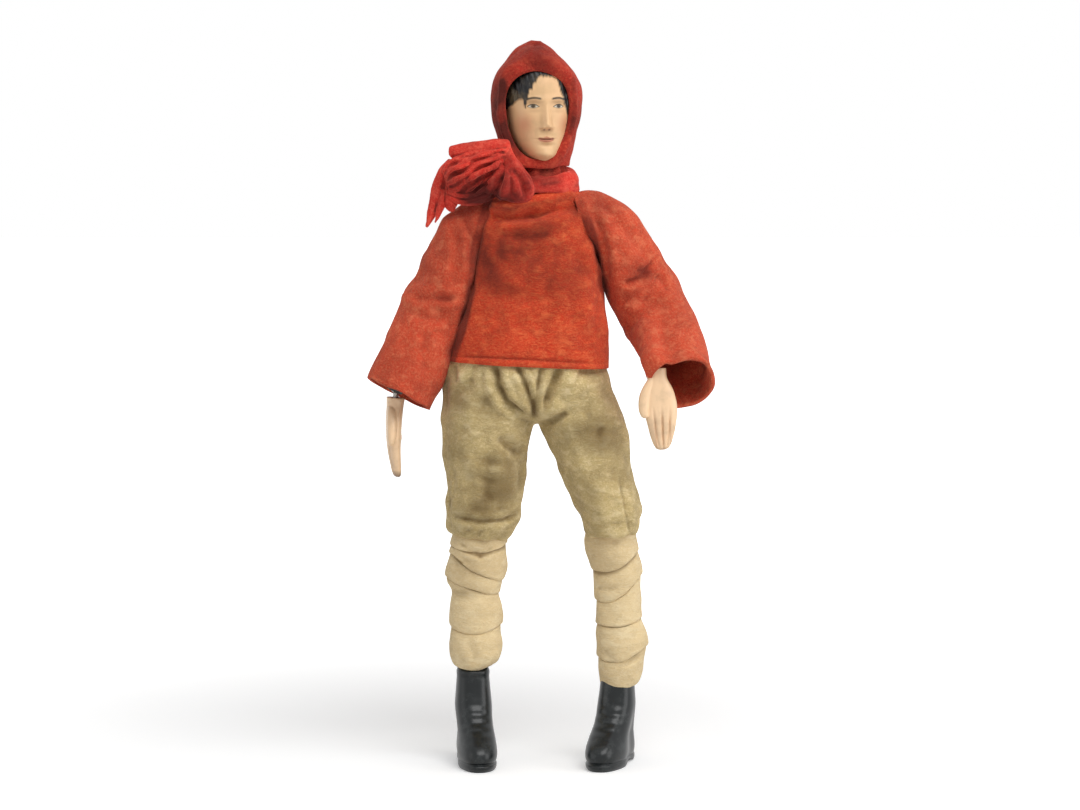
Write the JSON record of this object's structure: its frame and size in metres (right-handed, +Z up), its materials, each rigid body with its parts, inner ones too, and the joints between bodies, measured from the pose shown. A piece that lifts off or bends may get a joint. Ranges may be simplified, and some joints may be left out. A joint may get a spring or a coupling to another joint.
{
  "type": "jointed doll",
  "caption": "Standing jointed doll with a ball-and-socket metal body, painted head, hands and boots, and felt hood, scarf, jacket, trousers and leg wraps.",
  "frame": {"origin": "the middle of the outline seen from above, on the plane of the two boot soles", "axes": "+Z up along the figure; the doll faces -Y, towards the camera; +X is the doll's left, the right side of the picture"},
  "size_m": [0.091, 0.0334, 0.1998],
  "materials": {
    "dark_metal": "satin",
    "screw_steel": "satin",
    "painted_head": "satin",
    "painted_hand": "satin",
    "black_boot": "gloss",
    "red_felt": "matte",
    "coral_felt": "matte",
    "orange_felt": "matte",
    "cream_felt": "matte"
  },
  "bodies": {
    "pelvis": {"pelvis_front": "dark_metal", "pelvis_back": "dark_metal", "pelvis_screw": "screw_steel", "trouser_seat": "cream_felt"},
    "waist_link": {"waist_link": "dark_metal"},
    "chest": {"chest_front": "dark_metal", "chest_back": "dark_metal", "chest_screw": "screw_steel", "jacket_body": "orange_felt", "scarf": "coral_felt"},
    "neck_link": {"neck_link": "dark_metal"},
    "head": {"head": "painted_head", "hood": "red_felt"},
    "right_shoulder_link": {"right_shoulder_link": "dark_metal"},
    "right_upper_arm": {"right_upper_arm": "dark_metal", "right_sleeve": "orange_felt"},
    "right_forearm": {"right_forearm": "dark_metal"},
    "right_hand": {"right_hand": "painted_hand", "right_wrist_stud": "dark_metal", "right_hand_nail": "screw_steel"},
    "right_hip_link": {"right_hip_link": "dark_metal"},
    "right_thigh": {"right_thigh": "dark_metal", "right_trouser_leg": "cream_felt"},
    "right_shin": {"right_shin": "dark_metal", "right_leg_wrap": "cream_felt"},
    "right_foot": {"right_boot": "black_boot", "right_ankle_stud": "dark_metal"},
    "left_shoulder_link": {"left_shoulder_link": "dark_metal"},
    "left_upper_arm": {"left_upper_arm": "dark_metal", "left_sleeve": "orange_felt"},
    "left_forearm": {"left_forearm": "dark_metal"},
    "left_hand": {"left_hand": "painted_hand", "left_wrist_stud": "dark_metal", "left_hand_nail": "screw_steel"},
    "left_hip_link": {"left_hip_link": "dark_metal"},
    "left_thigh": {"left_thigh": "dark_metal", "left_trouser_leg": "cream_felt"},
    "left_shin": {"left_shin": "dark_metal", "left_leg_wrap": "cream_felt"},
    "left_foot": {"left_boot": "black_boot", "left_ankle_stud": "dark_metal"}
  },
  "joints": [
    {"name": "waist_bend", "type": "hinge", "parent": "pelvis", "child": "waist_link", "pos_m": [0.00128, 0.0027, 0.1146], "axis": [0.9877, 0, -0.1564], "range_deg": [-20, 20], "deforming": ["jacket_body", "trouser_seat"]},
    {"name": "waist_turn", "type": "hinge", "parent": "waist_link", "child": "chest", "pos_m": [0.00269, 0.0027, 0.12349], "axis": [0, 0, 1], "range_deg": [-30, 30], "deforming": ["jacket_body", "trouser_seat"]},
    {"name": "neck_nod", "type": "hinge", "parent": "chest", "child": "neck_link", "pos_m": [0.00269, 0.0027, 0.15789], "axis": [1, 0, 0], "range_deg": [-20, 20], "deforming": ["hood", "scarf"]},
    {"name": "head_turn", "type": "hinge", "parent": "neck_link", "child": "head", "pos_m": [0.00269, 0.0027, 0.16609], "axis": [0, 0, 1], "range_deg": [-80, 60], "deforming": ["hood", "scarf"]},
    {"name": "right_shoulder_swing", "type": "hinge", "parent": "chest", "child": "right_shoulder_link", "pos_m": [-0.00851, 0.0027, 0.15209], "axis": [1, 0, 0], "range_deg": [-150, 60], "deforming": ["jacket_body", "right_sleeve", "scarf"]},
    {"name": "right_shoulder_raise", "type": "hinge", "parent": "right_shoulder_link", "child": "right_upper_arm", "pos_m": [-0.01491, 0.0027, 0.15209], "axis": [0, 1, 0], "range_deg": [-14, 52], "deforming": ["jacket_body", "right_sleeve", "scarf"]},
    {"name": "right_elbow_bend", "type": "hinge", "parent": "right_upper_arm", "child": "right_forearm", "pos_m": [-0.02569, 0.0027, 0.12843], "axis": [0.91, 0, -0.4147], "range_deg": [-100, 4], "deforming": ["right_sleeve"]},
    {"name": "right_wrist_bend", "type": "hinge", "parent": "right_forearm", "child": "right_hand", "pos_m": [-0.03644, 0.00089, 0.10483], "axis": [0.1865, -0.9824, -0.0095], "range_deg": [-70, 20], "deforming": ["right_sleeve"]},
    {"name": "right_hip_swing", "type": "hinge", "parent": "pelvis", "child": "right_hip_link", "pos_m": [-0.00367, 0.0027, 0.10289], "axis": [0.998, 0, -0.0635], "range_deg": [-90, 35], "deforming": ["trouser_seat", "right_trouser_leg"]},
    {"name": "right_hip_spread", "type": "hinge", "parent": "right_hip_link", "child": "right_thigh", "pos_m": [-0.01046, 0.0027, 0.10332], "axis": [0, 1, 0], "range_deg": [-12, 22], "deforming": ["trouser_seat", "right_trouser_leg"]},
    {"name": "right_knee_bend", "type": "hinge", "parent": "right_thigh", "child": "right_shin", "pos_m": [-0.01328, 0.0027, 0.06192], "axis": [0.9974, 0, -0.0715], "range_deg": [0, 95], "deforming": ["right_trouser_leg", "right_leg_wrap"]},
    {"name": "right_ankle_bend", "type": "hinge", "parent": "right_shin", "child": "right_foot", "pos_m": [-0.0156, 0.0027, 0.0295], "axis": [0.9974, 0, -0.0715], "range_deg": [-25, 25], "deforming": ["right_leg_wrap"]},
    {"name": "left_shoulder_swing", "type": "hinge", "parent": "chest", "child": "left_shoulder_link", "pos_m": [0.01389, 0.0027, 0.15209], "axis": [1, 0, 0], "range_deg": [-165, 45], "deforming": ["jacket_body", "left_sleeve", "scarf"]},
    {"name": "left_shoulder_raise", "type": "hinge", "parent": "left_shoulder_link", "child": "left_upper_arm", "pos_m": [0.02029, 0.0027, 0.15209], "axis": [0, 0.9563, 0.2924], "range_deg": [-52, 14], "deforming": ["jacket_body", "left_sleeve", "scarf"]},
    {"name": "left_elbow_bend", "type": "hinge", "parent": "left_upper_arm", "child": "left_forearm", "pos_m": [0.03161, 0.00955, 0.1297], "axis": [0.8981, -0.1936, 0.3948], "range_deg": [-40, 68], "deforming": ["left_sleeve"]},
    {"name": "left_wrist_bend", "type": "hinge", "parent": "left_forearm", "child": "left_hand", "pos_m": [0.03433, -0.01067, 0.11359], "axis": [0.9942, 0.0664, 0.0848], "range_deg": [-89, 1], "deforming": ["left_sleeve"]},
    {"name": "left_hip_swing", "type": "hinge", "parent": "pelvis", "child": "left_hip_link", "pos_m": [0.00471, 0.0027, 0.10236], "axis": [0.998, 0, -0.0635], "range_deg": [-90, 35], "deforming": ["trouser_seat", "left_trouser_leg"]},
    {"name": "left_hip_spread", "type": "hinge", "parent": "left_hip_link", "child": "left_thigh", "pos_m": [0.0115, 0.0027, 0.10192], "axis": [0, 1, 0], "range_deg": [-14, 12], "deforming": ["trouser_seat", "left_trouser_leg"]},
    {"name": "left_knee_bend", "type": "hinge", "parent": "left_thigh", "child": "left_shin", "pos_m": [0.02259, 0.0027, 0.06193], "axis": [0.9979, 0, 0.0645], "range_deg": [0, 95], "deforming": ["left_trouser_leg", "left_leg_wrap"]},
    {"name": "left_ankle_bend", "type": "hinge", "parent": "left_shin", "child": "left_foot", "pos_m": [0.02469, 0.0027, 0.0295], "axis": [0.9979, 0, 0.0645], "range_deg": [-25, 25], "deforming": ["left_leg_wrap"]}
  ]
}
